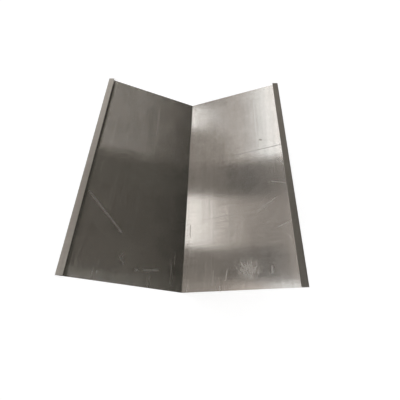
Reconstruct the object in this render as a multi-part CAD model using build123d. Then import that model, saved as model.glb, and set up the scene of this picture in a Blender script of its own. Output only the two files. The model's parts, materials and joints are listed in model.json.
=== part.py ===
"""Valley flashing: one sheet of metal folded into a shallow V, with an open hem along each outer edge.

It lies as it rests unheld on a level floor: the left wing flat and the right wing rising from the crease.
+Y runs up the valley along the crease, +Z is up, and the origin is on the floor at the middle of the
flashing's box.
"""

from build123d import *

import os
from math import radians, tan

# Driving dimensions, in millimetres and degrees
SHEET_LENGTH = 1000.0  # along the crease
SHEET_THICKNESS = 0.7
WING_WIDTH = 470.0  # from the sharp line of the crease to the outermost line of the hem's fold
CREASE_ANGLE = 135.0  # between the upper faces of the two wings
CREASE_RADIUS = 1.2  # inside the crease, on the upper face
HEM_WIDTH = 27.0  # from the outermost line of the fold to the hem's free edge
HEM_OPENING = 22.5  # between a hem and the wing under it
HEM_RADIUS = 1.0  # inside the hem's fold

# Derived
WING_SLOPE = (180.0 - CREASE_ANGLE) / 2
CREASE_OUTER_RADIUS = CREASE_RADIUS + SHEET_THICKNESS
HEM_OUTER_RADIUS = HEM_RADIUS + SHEET_THICKNESS
CREASE_SETBACK = CREASE_OUTER_RADIUS * tan(radians(WING_SLOPE))
WING_FLAT = WING_WIDTH - CREASE_SETBACK - HEM_OUTER_RADIUS
HEM_FLAT = HEM_WIDTH - HEM_OUTER_RADIUS


def upper_face():
    """The upper face of the section from edge to edge: its right half, mirrored about the crease."""
    with BuildLine() as face:
        crease = JernArc((0, 0), (1, 0), CREASE_RADIUS, WING_SLOPE)
        wing = PolarLine(crease @ 1, WING_FLAT, WING_SLOPE)
        fold = JernArc(wing @ 1, wing % 1, HEM_RADIUS, 180.0 - HEM_OPENING)
        PolarLine(fold @ 1, HEM_FLAT, direction=fold % 1)
        mirror(about=Plane.YZ)
    return face.wire()


def section():
    """The section at an even thickness, turned about the crease until the left wing is level."""
    outline = upper_face().offset_2d(SHEET_THICKNESS, side=Side.RIGHT)
    return Rot(Z=WING_SLOPE) * make_face(outline)


def folded_sheet():
    """The section drawn out along the crease and set on the floor, centred on the origin."""
    sheet = extrude(Plane.XZ * section(), SHEET_LENGTH / 2, both=True)
    box = sheet.bounding_box()
    return Pos(-box.center().X, -box.center().Y, -box.min.Z) * sheet


os.makedirs("parts", exist_ok=True)
export_step(folded_sheet(), "parts/folded_sheet.step")
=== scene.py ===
"""Looks of the valley flashing: bare rolled sheet, folded into a V, lying on one wing on a white floor."""

import json
import math
from typing import NamedTuple

import bmesh
import bpy
from mathutils import Matrix, Vector

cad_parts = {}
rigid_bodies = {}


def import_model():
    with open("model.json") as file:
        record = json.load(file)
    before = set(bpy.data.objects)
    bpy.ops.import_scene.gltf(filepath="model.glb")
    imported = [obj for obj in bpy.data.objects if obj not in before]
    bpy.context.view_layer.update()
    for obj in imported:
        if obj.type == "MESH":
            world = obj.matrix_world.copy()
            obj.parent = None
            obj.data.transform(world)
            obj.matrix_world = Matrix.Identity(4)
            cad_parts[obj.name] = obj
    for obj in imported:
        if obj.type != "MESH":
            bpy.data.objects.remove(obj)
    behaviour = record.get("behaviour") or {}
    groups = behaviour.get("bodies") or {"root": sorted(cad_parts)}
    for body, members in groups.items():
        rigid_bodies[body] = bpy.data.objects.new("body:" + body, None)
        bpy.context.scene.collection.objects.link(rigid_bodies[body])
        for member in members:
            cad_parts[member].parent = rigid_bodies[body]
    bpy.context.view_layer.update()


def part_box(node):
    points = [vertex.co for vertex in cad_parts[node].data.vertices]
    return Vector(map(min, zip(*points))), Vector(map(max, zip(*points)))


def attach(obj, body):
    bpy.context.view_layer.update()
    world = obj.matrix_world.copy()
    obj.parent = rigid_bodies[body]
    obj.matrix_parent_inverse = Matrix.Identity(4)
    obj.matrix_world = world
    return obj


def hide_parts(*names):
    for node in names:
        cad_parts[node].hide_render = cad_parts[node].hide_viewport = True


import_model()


class Sine(NamedTuple):
    """One swing of a wave along the sheet, with its angles in radians."""

    weight: float  # its share of the wave's height
    rate: float  # to the metre
    phase: float  # at the middle of the length
    skew: float = 0.0  # what the phase gains from the crease to the hem


class Pattern(NamedTuple):
    """Noise in two directions: how often it changes to the unit, and what kind of noise it is."""

    across: float
    along: float
    layer: float = 0.0  # the slice of the noise that is used
    detail: float = 3.0
    roughness: float = 0.55


class Ramp(NamedTuple):
    """A value that goes evenly from first to last while another one goes from start to end."""

    start: float
    end: float
    first: float
    last: float


class Finish(NamedTuple):
    """The finish of one face of the sheet."""

    dark: tuple
    light: tuple
    roughness: float
    anisotropy: float
    leans: tuple  # the least and the greatest lean of the grain's sides, as tangents


NODE = "folded_sheet"
LOW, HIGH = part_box(NODE)

# The sheet's section, in metres and degrees, as the solid has it
THICKNESS = 0.0007
WING_WIDTH = 0.470
WING_SLOPE = 22.5  # of each wing, before the sheet is laid on its left one
CREASE_RADIUS = 0.0012
HEM_WIDTH = 0.027
HEM_OPENING = 22.5
HEM_RADIUS = 0.001

# How finely the mesh follows it, and the angle in degrees from which an edge of the mesh is sharp
WING_STEPS = 64
CREASE_STEPS = 5
FOLD_STEPS = 12
HEM_STEPS = 4
LENGTH_STEPS = 120
SHARP_ANGLE = 40

# Long shallow waves in the two wings, in metres
WAVE_HEIGHT = 0.0004
LEFT_LEVEL = 0.5
LEFT_SINES = (Sine(0.32, 7.3, 0.6), Sine(0.18, 15.1, 2.0, 2.5))
RIGHT_LEVEL = 0.0
RIGHT_SINES = (Sine(0.7, 6.1, -0.9), Sine(0.3, 13.7, 1.0, -3.0))

# The uneven folding of the two hems, in degrees
HEM_UNEVEN = 1.2
LEFT_HEM_SINES = (Sine(0.7, 5.3, 0.4), Sine(0.3, 17.0, 0.8))
RIGHT_HEM_SINES = (Sine(0.7, 5.3, 2.9), Sine(0.3, 17.0, 5.8))

# The mesh's three materials and its UV map
UPPER, LOWER, CUT = 0, 1, 2
UV_MAP = "sheet"

# Marks lighter and rougher than the sheet, left by handling; marks() says how they are written
SCRATCHES = (
    (((-429, -158), (-360, -221), (-272, -302)), 5.5, 1.0),
    (((-250, -388), (-259, -402), (-243, -425)), 3.0, 0.85),
    (((-214, -388), (-236, -414)), 2.6, 0.35),
    (((-205, -378), (-285, -413)), 3.0, 0.25),
    (((-192, -441), (-187, -441)), 7.0, 1.0),
    (((-162, -437), (-132, -433)), 6.0, 0.8),
    (((-126, -432), (-106, -429)), 5.5, 0.75),
    (((-184, 430), (-182, 290), (-183, 95)), 5.0, 0.4),
    (((-357, 450), (-350, 268)), 5.0, 0.35),
    (((-322, 432), (-325, 330)), 5.0, 0.3),
    (((-408, -309), (-368, -314)), 3.0, 0.35),
    (((-330, -420), (-336, -462)), 5.0, 0.4),
    (((-78, -410), (-75, -462)), 5.0, 0.4),
    (((-52, -395), (-50, -474)), 5.0, 0.45),
    (((-40, -345), (-38, -400)), 5.0, 0.4),
    (((352, 165), (359, 161)), 7.0, 0.6),
    (((318, -198), (352, -172), (380, -152)), 4.5, 0.35),
    (((345, -186), (391, -149)), 3.5, 0.45),
    (((385, -68), (447, -86)), 3.5, 0.6),
    (((423, 43), (445, 6)), 4.0, 0.7),
    (((395, -272), (443, -254)), 4.0, 0.5),
    (((400, -290), (420, -303), (436, -330)), 3.5, 0.42),
    (((418, -276), (440, -292)), 3.5, 0.38),
    (((161, -158), (203, -150)), 4.0, 0.3),
    (((73, -193), (136, -199), (187, -189), (265, -220)), 4.0, 0.28),
    (((253, -228), (244, -290), (232, -335)), 5.0, 0.2),
    (((128, -424), (127, -478)), 5.0, 0.3),
    (((184, -424), (177, -464)), 5.0, 0.4),
    (((153, -483), (153, -498)), 4.0, 0.6),
    (((354, -422), (353, -444)), 5.0, 0.8),
    (((335, -379), (337, -420), (334, -459)), 5.0, 0.2),
    (((320, -398), (314, -451)), 5.0, 0.2),
    (((338, -440), (346, -452)), 4.0, 0.4),
    (((372, 20), (375, -95)), 4.0, 0.3),
)

# Darker marks, written the same way: the painted shade of kinks and dents in the sheet, and last a painted
# shadow on the wing along the mouth of the left hem
PAINTED_KINK_AND_HEM_SHADE = (
    (((205, 105), (331, 107)), 3.0, 0.35),
    (((331, 107), (448, 114)), 3.5, 0.6),
    (((352, 165), (360, 160)), 4.5, 0.6),
    (((85, -204), (130, -203), (175, -197), (225, -199)), 4.5, 0.13),
    (((340, 43), (344, 39)), 5.0, 0.5),
    (((22, -222), (24, -276)), 4.0, 0.5),
    # A painted shadow of the left hem, on the wing just beyond its free edge
    (((-440, 505), (-440, 60)), 9.0, 0.75),
    (((-440, 60), (-440, -90)), 9.0, 0.5),
    (((-440, -90), (-440, -200)), 9.0, 0.25),
)

# How far from its middle line a mark is at full strength and where it ends, as shares of its width
STROKE_FULL = 0.25
STROKE_END = 0.75

# The scuffed place low on the raised wing, in millimetres: its strokes fan out from a point below it
SCUFF_CENTRE = (267, -425)
SCUFF_SIZE = (82, 68)
SCUFF_PIVOT = (292, -520)
SCUFF_FADE = Ramp(0.2, 1.0, 1.0, 0.0)
SCUFF_STROKES = Pattern(24, 0.035, 5.0, 2.0, 0.6)
SCUFF_STRENGTH = Ramp(0.32, 0.68, 0.26, 0.62)

# Two sets of faint short scratches: their turn from the sheet's length, in degrees, and their noise
HAIRLINE_SETS = ((48, Pattern(150, 11, 1.3, 2.0)), (100, Pattern(150, 11, 4.9, 2.0)))
HAIRLINE_STRENGTH = Ramp(0.67, 0.82, 0.0, 0.4)

# Strokes up from the near end: their noise, and how they grow toward the end and fade across, in metres
FOOT_STROKES = Pattern(170, 12, 7.7, 2.0)
FOOT_STRENGTH = Ramp(0.52, 0.76, 0.0, 0.6)
FOOT_REACH = Ramp(-0.34, -0.49, 0.0, 1.0)
FOOT_SPREAD = Ramp(-0.02, 0.38, 1.0, 0.3)

# The rolling grain: its lines to the metre, how far they wander, and the share of each line that leans
GRAIN_LINES = 540
GRAIN_WANDER = Pattern(150, 1.5, 0.0, 2.0)
GRAIN_WANDER_REACH = 1.5
LEANING_SHARE = 0.33

# What makes the sheet's tone, each with its share: lanes along it, chatter across it and mottle
LANES = Pattern(120, 3, 3.7, 3.0, 0.7)
LANES_SHARE = 0.34
CHATTER = Pattern(9, 125, 6.1, 3.0, 0.7)
CHATTER_SHARE = 0.36
MOTTLE = Pattern(11, 7, 8.1, 4.0)
MOTTLE_SHARE = 0.3
TONE = Ramp(0.38, 0.62, 0.0, 1.0)

# How far the roughness swings to either side, and the span of mottle that it follows
ROUGHNESS_SWING = 0.01
MOTTLE_SPAN = (0.3, 0.7)

# What the marks do to the metal
SCRATCH_COLOUR = (0.86, 0.85, 0.83)
SCRATCH_COVER = 0.8
SCRATCH_ROUGHNESS = 0.65
# The colour of the painted shade of kinks and dents and of the painted shadow beside the left hem
PAINTED_SHADE_COLOUR = (0.2, 0.19, 0.18)

# The faces of the sheet and its sheared edge
FACE = Finish((0.555, 0.54, 0.52), (0.675, 0.66, 0.64), 0.132, 0.83, (0.36, 0.605))
BACK = Finish((0.52, 0.504, 0.478), (0.60, 0.583, 0.552), 0.41, 0.3, (0.0, 0.1))
CUT_COLOURS = ((0.5, 0.49, 0.47), (0.72, 0.7, 0.68))
CUT_ROUGHNESS = 0.4
CUT_NICKS = Pattern(700, 700)

# The studio's cards, in metres
STUDIO_RADIUS = 40.0
CARD_STEP = 0.3  # each card stands this much nearer than the last
CARD_SQUARES = 24  # each way in a card's mesh

# Tints of the studio's greys
WARM = (1.0, 0.905, 0.82)
OLIVE = (1.0, 0.965, 0.83)
REDDISH = (1.0, 0.87, 0.77)
NEUTRAL = (1.0, 0.993, 0.968)
WHITE = (0.995, 1.0, 0.992)
COOL = (0.96, 1.0, 1.015)
RUST = (1.0, 0.78, 0.62)

# The card behind all others, and cards with a span of their own, written as card() takes them
ROOF = ("roof", (-96, 96), (-89, 89), 0.02, OLIVE)
FREE_CARDS = (
    ("rear_wall", (-96, 96), (-89, -38), 0.45, NEUTRAL, (0, 16)),
    ("rear_light", (-74, 14), (-62, -5), 1.2, NEUTRAL, (18, 14)),
    ("rear_side", (20, 84), (-50, -6), 0.3, WARM, (16, 14)),
    ("window_high", (-78, -64), (40.7, 45.3), 1.7, WHITE, (5, 0.6)),
    ("side_light_high", (-54.5, -46.5), (35.1, 75.2), 2.1, COOL, (3, 0.5)),
    ("side_glow", (-59, -46), (34.8, 36.8), 0.55, COOL, (5, 0.4)),
)

# The studio's five bands, by the angle along: from over the sheet to beyond its far end, with soft borders
BAND_EDGES = (-4, 13.2, 19.1, 28.5, 34.3, 75)
BAND_SOFT = 0.4

# What stands there: the span around, how far its ends fade, the tint and the brightness in each band
BAND_CARDS = (
    ("overhead", (-16, 25), 10, OLIVE, (0.085, 0.053, 0.055, 0.098, 0.098)),
    ("overhead_light", (-2, 19), 5, OLIVE, (0.035, 0.03, 0.02, 0.005, 0.0)),
    ("overhead_foot", (13, 21), 3, OLIVE, (0.05, 0.0, 0.0, 0.0, 0.0)),
    ("far_side", (38, 72), 6, REDDISH, (0.04, 0.05, 0.0, 0.02, 0.24)),
    ("gallery", (-27, -3), 6, WARM, (0.06, 0.09, 0.22, 0.26, 0.52)),
    ("wall", (-82, -58), 5, WARM, (0.44, 0.33, 0.67, 0.31, 0.34)),
    ("corner", (-62, -52), 3, REDDISH, (0.95, 0.12, 0.37, 0.03, 0.52)),
    ("side_light", (-54.5, -46.5), 3, COOL, (2.1, 0.0, 0.0, 0.0, 0.0)),
    ("side_shade", (-55, -47), 3, RUST, (0.0, 0.02, 0.13, 0.12, 0.0)),
    ("edge", (-49, -40.5), 2, REDDISH, (0.96, 1.1, 0.75, 0.44, 1.66)),
    ("window", (-76, -64), 0.8, WHITE, (0.0, 0.0, 1.2, 0.0, 0.0)),
)

# The floor, in metres: from its middle to its sides, and from the sheet down to it
FLOOR_REACH = 30
FLOOR_GAP = 0.0002
FLOOR_COLOUR = (0.8, 0.8, 0.8)

# The floor's own light where it is seen or mirrored, and the sky's strength where the sky only lights
FLOOR_LIFT = 0.4
SKY_FILL = 0.55

# The lamp: its place in metres, its spread in degrees and its strength
LAMP_PLACE = (-2.5, -3.0, 4.0)
LAMP_SPREAD = 35
LAMP_STRENGTH = 1.1

# The camera: its place in metres, the way it looks, its roll in degrees, and its lens in millimetres
CAMERA_PLACE = Vector((-0.3797, -0.7741, 1.2122))
CAMERA_WAY = Vector((0.28869, 0.55598, -0.77945))
CAMERA_ROLL = 36.98
LENS = 28.51
SENSOR_WIDTH = 36

# The point of the picture that the lens looks straight at, and the picture's width, in pixels
PRINCIPAL_X = 189.16
PRINCIPAL_Y = 166.42
IMAGE = 400


def half_section(hem_opening):
    """The middle of the sheet's thickness, from the crease's centre to the free edge of a hem.

    Each point is (distance from the crease, x, z, heading in radians, share of the wing's width or None).
    """
    outer = HEM_RADIUS + THICKNESS
    setback = (CREASE_RADIUS + THICKNESS) * math.tan(math.radians(WING_SLOPE))
    runs = (
        ("crease", CREASE_RADIUS + THICKNESS / 2, WING_SLOPE, CREASE_STEPS),
        ("wing", None, WING_WIDTH - setback - outer, WING_STEPS),
        ("fold", HEM_RADIUS + THICKNESS / 2, 180 - hem_opening, FOLD_STEPS),
        ("hem", None, HEM_WIDTH - outer, HEM_STEPS),
    )
    s = x = z = heading = 0.0
    points = [(s, x, z, heading, None)]
    for run, radius, size, steps in runs:
        for step in range(steps):
            if radius is None:
                piece, turn = size / steps, 0.0
            else:
                turn = math.radians(size) / steps
                piece = 2 * radius * math.sin(turn / 2)
            s += piece
            x += piece * math.cos(heading + turn / 2)
            z += piece * math.sin(heading + turn / 2)
            heading += turn
            share = (step + 1) / steps if run == "wing" else None
            points.append((s, x, z, heading, share))
    return points


def section(left_opening, right_opening):
    """The whole section, laid on its left wing in the row's frame.

    Each point is (distance from the crease, side, place, upper normal, share of the wing's width or None).
    """
    left = half_section(left_opening)
    right = half_section(right_opening)
    whole = [(-s, -1, -x, z, -heading, share) for s, x, z, heading, share in reversed(left[1:])]
    whole += [(s, 1, x, z, heading, share) for s, x, z, heading, share in right]
    radius = CREASE_RADIUS + THICKNESS / 2
    slope = math.radians(WING_SLOPE)
    sharp = Vector((0, 0, radius - (CREASE_RADIUS + THICKNESS) / math.cos(slope)))
    turn = Matrix.Rotation(-slope, 3, "Y")
    seat = Vector((LOW[0] + WING_WIDTH, 0, LOW[2]))
    points = []
    for s, side, x, z, heading, share in whole:
        place = turn @ (Vector((x, 0, z)) - sharp) + seat
        normal = turn @ Vector((-math.sin(heading), 0, math.cos(heading)))
        points.append((s, side, place, normal, share))
    return points


def swing(level, sines, y, share=0.0):
    """The height at y of a wave along the sheet, as a share of its full height."""
    swings = (sine.weight * math.sin(sine.rate * y + sine.phase + sine.skew * share) for sine in sines)
    return sum(swings, start=level)


def wave(side, share, y):
    """How far the sheet stands off its flat plane: long shallow waves that die out at the two folds."""
    if share is None:
        return 0.0
    across = math.sin(math.pi * share)
    level, sines = (LEFT_LEVEL, LEFT_SINES) if side < 0 else (RIGHT_LEVEL, RIGHT_SINES)
    return WAVE_HEIGHT * across * swing(level, sines, y, share)


def opening(sines, y):
    """How far a hem stands open at y, in degrees."""
    return HEM_OPENING + HEM_UNEVEN * swing(0.0, sines, y)


def sheet_mesh():
    """The folded sheet as a closed mesh, with distances across and along the sheet as its UV map."""
    bm = bmesh.new()
    uv = bm.loops.layers.uv.new(UV_MAP)
    rows = []
    for j in range(LENGTH_STEPS + 1):
        y = LOW[1] + (HIGH[1] - LOW[1]) * j / LENGTH_STEPS
        row = []
        openings = (opening(LEFT_HEM_SINES, y), opening(RIGHT_HEM_SINES, y))
        for s, side, place, normal, share in section(*openings):
            middle = place + normal * wave(side, share, y) + Vector((0, y, 0))
            upper = bm.verts.new(middle + normal * THICKNESS / 2)
            lower = bm.verts.new(middle - normal * THICKNESS / 2)
            row.append(((upper, (s, y)), (lower, (s, y))))
        rows.append(row)

    def quad(corners, slot):
        """One face, from its corners as (vertex, place on the UV map)."""
        face = bm.faces.new([vert for vert, _ in corners])
        face.material_index = slot
        face.smooth = True
        for loop, (_, at) in zip(face.loops, corners):
            loop[uv].uv = at

    last = len(rows[0]) - 1
    for near, far in zip(rows, rows[1:]):
        for i in range(last):
            a, b, c, d = near[i], near[i + 1], far[i + 1], far[i]
            quad([a[0], b[0], c[0], d[0]], UPPER)
            quad([d[1], c[1], b[1], a[1]], LOWER)
        for a, b in ((far[0], near[0]), (near[last], far[last])):
            quad([a[0], a[1], b[1], b[0]], CUT)
    for i in range(last):
        a, b = rows[0][i], rows[0][i + 1]
        quad([a[1], b[1], b[0], a[0]], CUT)
    for i in range(last):
        a, b = rows[-1][i + 1], rows[-1][i]
        quad([a[1], b[1], b[0], a[0]], CUT)
    bmesh.ops.recalc_face_normals(bm, faces=bm.faces)
    mesh = bpy.data.meshes.new("folded_sheet_metal")
    bm.to_mesh(mesh)
    bm.free()
    mesh.set_sharp_from_angle(angle=math.radians(SHARP_ANGLE))
    return mesh


class Nodes:
    """A node tree and short ways of adding to it."""

    def __init__(self, tree):
        self.tree = tree
        tree.nodes.clear()

    def add(self, kind, inputs=None, **settings):
        """A node with its settings, and with a value or a link in each of the inputs."""
        node = self.tree.nodes.new(kind)
        for name, value in settings.items():
            setattr(node, name, value)
        for name, value in (inputs or {}).items():
            if isinstance(value, bpy.types.NodeSocket):
                self.tree.links.new(value, node.inputs[name])
            else:
                node.inputs[name].default_value = value
        return node

    def math(self, operation, *values, clamp=False):
        inputs = dict(enumerate(values))
        return self.add("ShaderNodeMath", inputs, operation=operation, use_clamp=clamp).outputs[0]

    def vector(self, operation, *values):
        node = self.add("ShaderNodeVectorMath", dict(enumerate(values)), operation=operation)
        return node.outputs["Value" if operation in ("DOT_PRODUCT", "LENGTH") else "Vector"]

    def uv(self, name):
        """The place on a UV map, whole and as its two parts."""
        place = self.add("ShaderNodeUVMap", uv_map=name).outputs["UV"]
        parts = self.add("ShaderNodeSeparateXYZ", {"Vector": place}).outputs
        return place, parts["X"], parts["Y"]

    def noise(self, across, along, pattern):
        x = self.math("MULTIPLY", across, pattern.across)
        y = self.math("MULTIPLY", along, pattern.along)
        place = self.add("ShaderNodeCombineXYZ", {"X": x, "Y": y, "Z": pattern.layer}).outputs[0]
        kind = {"Scale": 1.0, "Detail": pattern.detail, "Roughness": pattern.roughness}
        return self.add("ShaderNodeTexNoise", {"Vector": place, **kind}).outputs["Fac"]

    def remap(self, value, ramp, **settings):
        inputs = {"Value": value, 1: ramp.start, 2: ramp.end, 3: ramp.first, 4: ramp.last}
        return self.add("ShaderNodeMapRange", inputs, **settings).outputs[0]

    def mix(self, share, first, second):
        """The first colour, with a share of the second laid over it."""
        inputs = {"Factor": share, "A": first, "B": second}
        return self.add("ShaderNodeMix", inputs, data_type="RGBA").outputs["Result"]

    def sum(self, first, second):
        """Two shaders whose light adds up."""
        return self.add("ShaderNodeAddShader", {0: first, 1: second}).outputs[0]

    def stroke(self, place, start, end, width):
        """1 on the straight stroke from start to end, falling to 0 at its sides; all in millimetres."""
        way = Vector((end[0] - start[0], end[1] - start[1], 0))
        offset = self.vector("SUBTRACT", place, (start[0], start[1], 0))
        share = self.vector("DOT_PRODUCT", offset, tuple(way / way.length_squared))
        share = self.math("MULTIPLY", share, 1.0, clamp=True)
        reached = self.add("ShaderNodeVectorMath", {0: tuple(way), "Scale": share}, operation="SCALE")
        away = self.vector("SUBTRACT", offset, reached.outputs["Vector"])
        fade = Ramp(STROKE_FULL * width, STROKE_END * width, 1.0, 0.0)
        return self.remap(self.vector("LENGTH", away), fade)


def new_material(name):
    material = bpy.data.materials.new(name)
    material.use_nodes = True
    return material, Nodes(material.node_tree)


def new_object(name, data):
    held = bpy.data.objects.new(name, data)
    bpy.context.collection.objects.link(held)
    return held


def marks(n, place, lines):
    """How strongly each place of the sheet is marked by the lines, 0 to 1.

    A line is (the places it runs through, its width, its strength). A place is (across, along): across
    the unfolded sheet from the crease, with the left wing negative, and along it from its middle. Places
    and widths are in millimetres.
    """
    worn = 0.0
    for points, width, strength in lines:
        for start, end in zip(points, points[1:]):
            stroke = n.math("MULTIPLY", n.stroke(place, start, end, width), strength)
            worn = n.math("MAXIMUM", stroke, worn)
    return worn


def scuff(n, place):
    """Fine strokes that fan out from a point, inside a soft oval."""
    spot = n.vector("SUBTRACT", place, (*SCUFF_CENTRE, 0))
    spot = n.vector("LENGTH", n.vector("MULTIPLY", spot, (1 / SCUFF_SIZE[0], 1 / SCUFF_SIZE[1], 0)))
    inside = n.remap(spot, SCUFF_FADE)
    spoke = n.vector("SUBTRACT", place, (*SCUFF_PIVOT, 0))
    parts = n.add("ShaderNodeSeparateXYZ", {"Vector": spoke}).outputs
    turn = n.math("ARCTAN2", parts["Y"], parts["X"])
    strokes = n.noise(turn, n.vector("LENGTH", spoke), SCUFF_STROKES)
    return n.math("MULTIPLY", n.remap(strokes, SCUFF_STRENGTH), inside)


def hairlines(n, across, along, turn, pattern):
    """Faint short scratches, all in about the same direction, where the sheet has slid over others."""
    c, s = math.cos(math.radians(turn)), math.sin(math.radians(turn))
    x = n.math("MULTIPLY_ADD", across, c, n.math("MULTIPLY", along, s))
    y = n.math("MULTIPLY_ADD", along, c, n.math("MULTIPLY", across, -s))
    return n.remap(n.noise(x, y, pattern), HAIRLINE_STRENGTH)


def foot_wear(n, across, along):
    """Short strokes up from the near end of the sheet, where it was set down and pushed."""
    strokes = n.noise(across, along, FOOT_STROKES)
    near = n.math("MULTIPLY", n.remap(along, FOOT_REACH), n.remap(across, FOOT_SPREAD))
    return n.math("MULTIPLY", n.remap(strokes, FOOT_STRENGTH), near)


def wear(n, millimetres, across, along):
    """How strongly each place of the sheet is worn, 0 to 1."""
    worn = n.math("MAXIMUM", marks(n, millimetres, SCRATCHES), scuff(n, millimetres))
    for turn, pattern in HAIRLINE_SETS:
        worn = n.math("MAXIMUM", worn, hairlines(n, across, along, turn, pattern))
    return n.math("MAXIMUM", worn, foot_wear(n, across, along))


def grain_normal(n, across, along, leans):
    """The surface's direction on the rolling grain.

    Most of each grain line is flat; the rest leans to either side by a tangent within leans.
    """
    wander = n.noise(across, along, GRAIN_WANDER)
    line = n.math("MULTIPLY_ADD", across, GRAIN_LINES, n.math("MULTIPLY", wander, GRAIN_WANDER_REACH))
    side = n.math("MULTIPLY_ADD", n.math("FRACT", line), 2.0, -1.0)
    size = n.math("ABSOLUTE", side)
    leaning = n.math("GREATER_THAN", size, 1 - LEANING_SHARE)
    lean = n.math("MULTIPLY", n.remap(size, Ramp(1 - LEANING_SHARE, 1.0, *leans)), leaning)
    lean = n.math("MULTIPLY", lean, n.math("SIGN", side))
    tilt = n.math("MULTIPLY_ADD", lean, 0.5, 0.5)
    tilt = n.add("ShaderNodeCombineXYZ", {"X": tilt, "Y": 0.5, "Z": 1.0}).outputs[0]
    return n.add("ShaderNodeNormalMap", {"Color": tilt}, uv_map=UV_MAP).outputs[0]


def rolled_metal(name, finish):
    """Mill-finish sheet: rolling grain along the length smears what it mirrors across, but not along."""
    material, n = new_material(name)
    place, across, along = n.uv(UV_MAP)

    lanes = n.noise(across, along, LANES)
    chatter = n.noise(across, along, CHATTER)
    mottle = n.noise(across, along, MOTTLE)
    tone = n.math("MULTIPLY_ADD", lanes, LANES_SHARE, n.math("MULTIPLY", mottle, MOTTLE_SHARE))
    tone = n.math("MULTIPLY_ADD", chatter, CHATTER_SHARE, tone)
    colour = n.mix(n.remap(tone, TONE), (*finish.dark, 1), (*finish.light, 1))

    millimetres = n.vector("MULTIPLY", place, (1000, 1000, 0))
    worn = wear(n, millimetres, across, along)
    colour = n.mix(n.math("MULTIPLY", worn, SCRATCH_COVER), colour, (*SCRATCH_COLOUR, 1))
    # Painted shade: kinks and dents, and the left hem's shadow on the wing, are darkened into the colour
    colour = n.mix(marks(n, millimetres, PAINTED_KINK_AND_HEM_SHADE), colour, (*PAINTED_SHADE_COLOUR, 1))

    swings = (finish.roughness - ROUGHNESS_SWING, finish.roughness + ROUGHNESS_SWING)
    rough = n.remap(mottle, Ramp(*MOTTLE_SPAN, *swings))
    rough = n.math("MAXIMUM", rough, n.math("MULTIPLY", worn, SCRATCH_ROUGHNESS))
    shader = n.add(
        "ShaderNodeBsdfPrincipled",
        {
            "Base Color": colour,
            "Metallic": 1.0,
            "Roughness": rough,
            "Anisotropic": finish.anisotropy,
            "Tangent": n.add("ShaderNodeTangent", direction_type="UV_MAP", uv_map=UV_MAP).outputs[0],
            "Normal": grain_normal(n, across, along, finish.leans),
        },
    )
    n.add("ShaderNodeOutputMaterial", {"Surface": shader.outputs[0]})
    return material


def cut_metal():
    """The sheared edge of the sheet, brighter than its faces."""
    material, n = new_material("cut_edge")
    _, across, along = n.uv(UV_MAP)
    dark, light = CUT_COLOURS
    colour = n.mix(n.noise(across, along, CUT_NICKS), (*dark, 1), (*light, 1))
    inputs = {"Base Color": colour, "Metallic": 1.0, "Roughness": CUT_ROUGHNESS}
    shader = n.add("ShaderNodeBsdfPrincipled", inputs)
    n.add("ShaderNodeOutputMaterial", {"Surface": shader.outputs[0]})
    return material


def make_sheet():
    mesh = sheet_mesh()
    mesh.materials.append(rolled_metal("rolled_face", FACE))
    mesh.materials.append(rolled_metal("dull_back", BACK))
    mesh.materials.append(cut_metal())
    sheet = new_object("folded_sheet_metal", mesh)
    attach(sheet, "root")
    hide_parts(NODE)


def direction(around, along):
    """The way from the sheet to a place in the studio.

    The grain smears reflections round the sheet's long axis, so the studio is laid out by that axis: around
    is the angle from straight up toward +X, and along is the angle from there toward +Y, in degrees.
    """
    a, b = math.radians(around), math.radians(along)
    return Vector((math.sin(a) * math.cos(b), math.sin(b), math.cos(a) * math.cos(b)))


def card_mesh(name, around, along, radius):
    """A curved card over the two spans, with the two angles as its UV map."""
    bm = bmesh.new()
    uv = bm.loops.layers.uv.new("card")
    grid = []
    for j in range(CARD_SQUARES + 1):
        b = along[0] + (along[1] - along[0]) * j / CARD_SQUARES
        row = []
        for i in range(CARD_SQUARES + 1):
            a = around[0] + (around[1] - around[0]) * i / CARD_SQUARES
            vert = bm.verts.new(direction(a, b) * radius)
            row.append((vert, (a, b)))
        grid.append(row)
    for low, high in zip(grid, grid[1:]):
        for i in range(CARD_SQUARES):
            corners = (low[i], low[i + 1], high[i + 1], high[i])
            face = bm.faces.new([vert for vert, _ in corners])
            for loop, (_, at) in zip(face.loops, corners):
                loop[uv].uv = at
    mesh = bpy.data.meshes.new(name)
    bm.to_mesh(mesh)
    bm.free()
    return mesh


def card(name, around, along, level, tint, soft=(0.0, 0.0), clear=True):
    """A card far from the sheet that only reflections see.

    It covers two spans of angles, as direction() has them, and soft is how far its edges fade at each, in
    degrees. Where clear cards overlap, their light adds up.
    """
    radius = STUDIO_RADIUS - CARD_STEP * len(bpy.context.scene.objects)
    mesh = card_mesh(name, around, along, radius)
    material, n = new_material(name)
    _, *angles = n.uv("card")
    strength = level
    for angle, span, width in zip(angles, (around, along), soft):
        if width:
            middle = (span[0] + span[1]) / 2
            half = (span[1] - span[0]) / 2
            away = n.math("ABSOLUTE", n.math("SUBTRACT", angle, middle))
            fade = Ramp(half - width, half, 1.0, 0.0)
            edge = n.remap(away, fade, interpolation_type="SMOOTHSTEP")
            strength = n.math("MULTIPLY", edge, strength)
    light = n.add("ShaderNodeEmission", {"Color": (*tint, 1), "Strength": strength}).outputs[0]
    if clear:
        light = n.sum(n.add("ShaderNodeBsdfTransparent").outputs[0], light)
    n.add("ShaderNodeOutputMaterial", {"Surface": light})
    mesh.materials.append(material)
    held = new_object(name, mesh)
    held.visible_camera = held.visible_diffuse = held.visible_shadow = False


def cards():
    card(*ROOF, clear=False)
    for row in FREE_CARDS:
        card(*row)
    half = BAND_SOFT / 2
    for name, around, soft, tint, levels in BAND_CARDS:
        for number, level in enumerate(levels):
            along = (BAND_EDGES[number] - half, BAND_EDGES[number + 1] + half)
            if level:
                card(f"{name}_{number + 1}", around, along, level, tint, (soft, BAND_SOFT))


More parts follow.
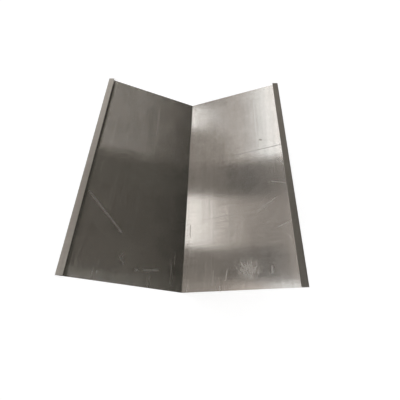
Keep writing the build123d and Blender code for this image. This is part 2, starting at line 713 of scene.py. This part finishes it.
def seen_or_mirrored(n):
    """1 for rays from the camera and for reflected or transmitted ones, otherwise 0."""
    rays = n.add("ShaderNodeLightPath").outputs
    seen = n.math("MAXIMUM", rays["Is Camera Ray"], rays["Is Glossy Ray"])
    return n.math("MAXIMUM", seen, rays["Is Transmission Ray"])


def floor():
    bm = bmesh.new()
    bmesh.ops.create_grid(bm, x_segments=1, y_segments=1, size=FLOOR_REACH)
    mesh = bpy.data.meshes.new("floor")
    bm.to_mesh(mesh)
    bm.free()
    material, n = new_material("floor")
    base = n.add("ShaderNodeBsdfDiffuse", {"Color": (*FLOOR_COLOUR, 1)}).outputs[0]
    strength = n.math("MULTIPLY", seen_or_mirrored(n), FLOOR_LIFT)
    lift = n.add("ShaderNodeEmission", {"Strength": strength}).outputs[0]
    n.add("ShaderNodeOutputMaterial", {"Surface": n.sum(base, lift)})
    mesh.materials.append(material)
    ground = new_object("floor", mesh)
    ground.location.z = LOW[2] - FLOOR_GAP


def world():
    """A white sky, dimmer as a light than where it is seen."""
    sky = bpy.data.worlds.new("studio")
    sky.use_nodes = True
    bpy.context.scene.world = sky
    n = Nodes(sky.node_tree)
    strength = n.remap(seen_or_mirrored(n), Ramp(0.0, 1.0, SKY_FILL, 1.0))
    back = n.add("ShaderNodeBackground", {"Color": (1, 1, 1, 1), "Strength": strength})
    n.add("ShaderNodeOutputWorld", {"Surface": back.outputs[0]})


def lamp():
    """A wide soft light far away, which only the floor takes: the sheet mirrors the cards instead."""
    light = bpy.data.lights.new("soft_lamp", "SUN")
    light.angle = math.radians(LAMP_SPREAD)
    light.energy = LAMP_STRENGTH
    held = new_object("soft_lamp", light)
    held.location = LAMP_PLACE
    held.rotation_euler = (-Vector(LAMP_PLACE)).to_track_quat("-Z", "Y").to_euler()
    held.visible_glossy = False


def camera():
    data = bpy.data.cameras.new("camera")
    data.sensor_width = SENSOR_WIDTH
    data.lens = LENS
    data.shift_x = (IMAGE / 2 - PRINCIPAL_X) / IMAGE
    data.shift_y = (PRINCIPAL_Y - IMAGE / 2) / IMAGE
    held = new_object("camera", data)
    held.location = CAMERA_PLACE
    aim = CAMERA_WAY.to_track_quat("-Z", "Y").to_matrix()
    held.rotation_euler = (aim @ Matrix.Rotation(math.radians(CAMERA_ROLL), 3, "Z")).to_euler()
    bpy.context.scene.camera = held


make_sheet()
cards()
floor()
world()
lamp()
camera()
bpy.context.scene.view_settings.view_transform = "Standard"
